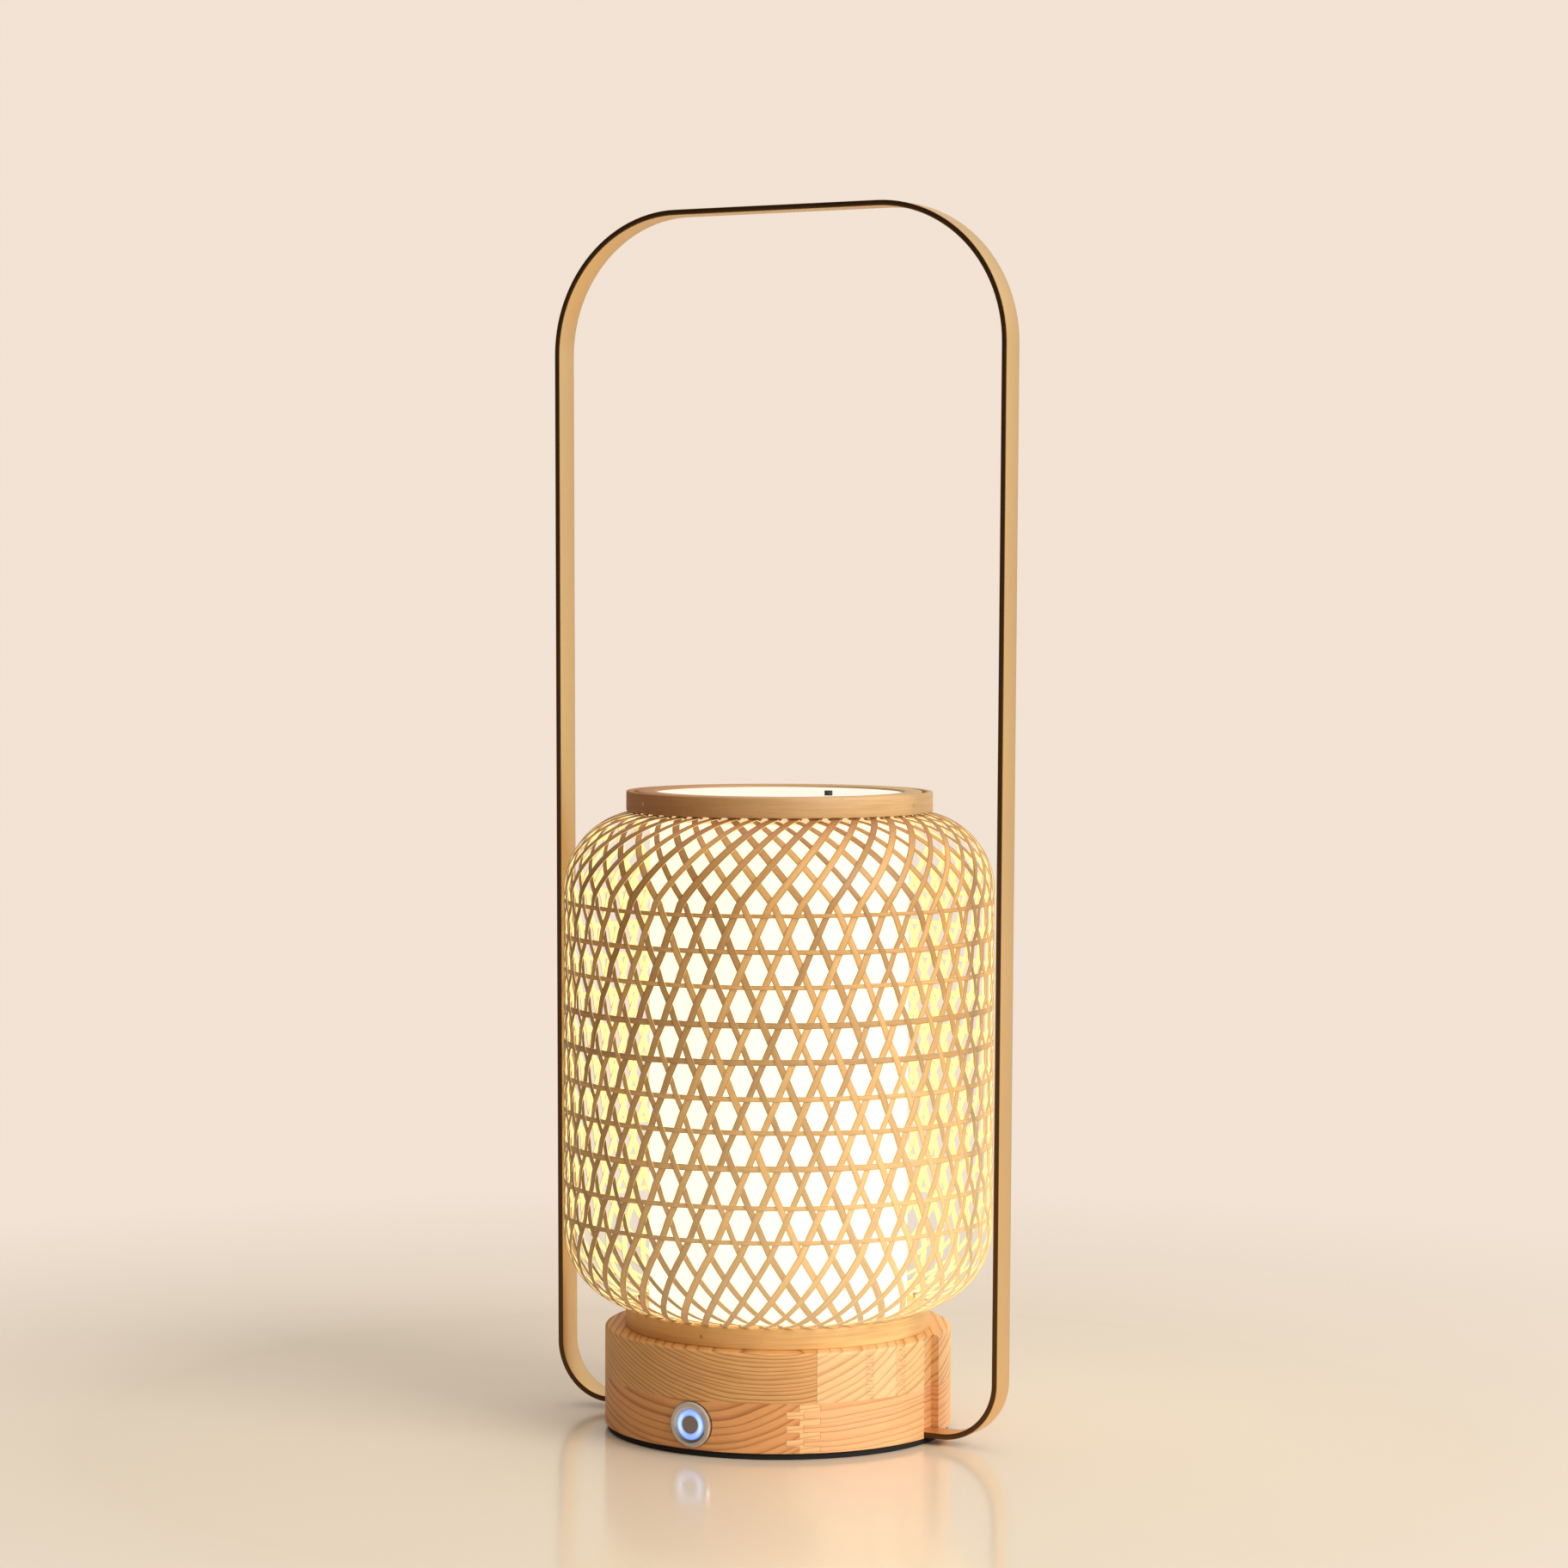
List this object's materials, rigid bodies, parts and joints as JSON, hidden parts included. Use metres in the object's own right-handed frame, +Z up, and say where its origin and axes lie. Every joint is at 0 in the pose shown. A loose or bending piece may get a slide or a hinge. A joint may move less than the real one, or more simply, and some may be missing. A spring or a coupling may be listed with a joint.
{
  "type": "table lamp",
  "caption": "Table lantern with a woven bamboo shade round a glowing white diffuser, on a round pine base carried by a tall flat metal hoop, with a lit push button.",
  "frame": {"origin": "middle of the underside of the base's pad, on the surface that the lamp stands on", "axes": "+Z up, +X along the hoop's width, -Y towards the push button at the front, +Y towards the charging socket at the rear"},
  "size_m": [0.2058, 0.173, 0.49],
  "materials": {
    "hoop_metal": "satin champagne gold coat on flat steel",
    "pine": "clear matt lacquer, edge-glued pine",
    "ring_bamboo": "bent bamboo, satin",
    "strip_bamboo": "split bamboo, satin",
    "opal": "opal white, lit from within",
    "seat_plastic": "matt",
    "steel": "zinc plated",
    "nail_brass": "plain",
    "pad_rubber": "matt black",
    "spreader_aluminium": "plain",
    "board_white": "white solder mask",
    "chip_yellow": "phosphor, lit",
    "bezel_chrome": "polished",
    "light_ring": "clear, lit blue-white",
    "cap_grey": "satin",
    "black_plastic": "matt",
    "cell_sleeve": "plastic sleeve",
    "board_green": "solder mask",
    "wire_red": "insulated wire",
    "wire_black": "insulated wire",
    "wire_grey": "insulated wire"
  },
  "bodies": {
    "lamp": {"hoop_handle": "hoop_metal", "hoop_screws": "steel", "lower_base_board": "pine", "upper_base_board": "pine", "bottom_cover": "steel", "cover_screws": "steel", "foot_pad": "pad_rubber", "lower_ring": "ring_bamboo", "lower_inner_hoop": "ring_bamboo", "upper_ring": "ring_bamboo", "upper_inner_hoop": "ring_bamboo", "ring_nails": "nail_brass", "shade_screws": "steel", "weave_right": "strip_bamboo", "weave_left": "strip_bamboo", "weave_hoops": "strip_bamboo", "diffuser_tube": "opal", "diffuser_cap": "opal", "vent_plug": "pad_rubber", "diffuser_seat": "seat_plastic", "heat_spreader": "spreader_aluminium", "led_board": "board_white", "led_chips": "chip_yellow", "led_screws": "steel", "button_bezel": "bezel_chrome", "button_seal": "pad_rubber", "button_nut": "steel", "button_switch": "black_plastic", "button_terminals": "nail_brass", "button_spring": "steel", "battery_cells": "cell_sleeve", "battery_tray": "black_plastic", "driver_board": "board_green", "driver_parts": "black_plastic", "charge_port": "steel", "port_plate": "black_plastic", "led_leads": "wire_red", "battery_leads": "wire_black", "button_leads": "wire_grey"},
    "button": {"button_light_ring": "light_ring", "button_cap": "cap_grey"}
  },
  "joints": [
    {"name": "button_press", "type": "slide", "parent": "lamp", "child": "button", "axis": [0, 1, 0], "range_m": [0, 0.0015], "stiffness_N_per_m": 1500, "springref_m": -0.0005, "deforming": ["button_spring"]}
  ]
}
